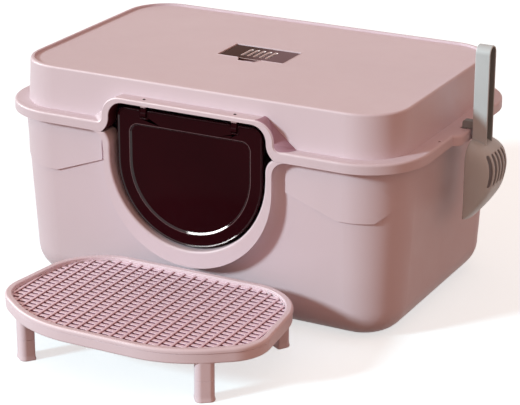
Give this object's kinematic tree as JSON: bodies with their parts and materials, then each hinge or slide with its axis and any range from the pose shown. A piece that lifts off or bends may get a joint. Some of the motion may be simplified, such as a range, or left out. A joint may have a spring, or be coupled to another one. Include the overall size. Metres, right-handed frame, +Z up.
{
  "type": "enclosed litter box",
  "caption": "Enclosed cat litter box with lift-off lid, swinging entry flap, hanging scoop, vented deodoriser in the lid and a separate grille step on legs.",
  "frame": {"origin": "centre of the tub's base, on the floor", "axes": "+Z up, +X towards the scoop's end, -Y towards the entry and the step"},
  "size_m": [0.6178, 0.6028, 0.338],
  "materials": {
    "shell": "satin moulded plastic",
    "flap": "dark glossy plastic",
    "cover": "dark glossy plastic",
    "basket": "moulded plastic",
    "charcoal": "non-woven pillow",
    "scoop": "satin moulded plastic"
  },
  "bodies": {
    "tub": {"tub": "shell"},
    "lid": {"lid": "shell", "door_hinge_clip_left": "flap", "door_hinge_clip_right": "flap", "deodoriser_basket": "basket", "charcoal_pack": "charcoal"},
    "door": {"door_flap": "flap"},
    "deodoriser_cover": {"deodoriser_cover": "cover"},
    "scoop": {"scoop": "scoop"},
    "step": {"step_frame": "shell", "step_leg_front_left": "shell", "step_leg_front_right": "shell", "step_leg_rear_left": "shell", "step_leg_rear_right": "shell"},
    "step_top": {"step_top": "shell"}
  },
  "joints": [
    {"name": "lid_lift", "type": "slide", "parent": "tub", "child": "lid", "axis": [0, 0, 1], "range_m": [0, 0.25]},
    {"name": "door_swing", "type": "hinge", "parent": "lid", "child": "door", "pos_m": [0, -0.17881, 0.2485], "axis": [1, 0, 0], "range_deg": [-80, 80]},
    {"name": "cover_hinge", "type": "hinge", "parent": "lid", "child": "deodoriser_cover", "pos_m": [-0.004, 0.0343, 0.2811], "axis": [-1, 0, 0], "range_deg": [0, 100]},
    {"name": "scoop_lift", "type": "slide", "parent": "lid", "child": "scoop", "axis": [0, 0, 1], "range_m": [0, 0.15]},
    {"name": "step_slide", "type": "slide", "parent": "tub", "child": "step", "axis": [0, -1, 0], "range_m": [0, 0.2]},
    {"name": "step_top_lift", "type": "slide", "parent": "step", "child": "step_top", "axis": [0, 0, 1], "range_m": [0, 0.1]}
  ]
}
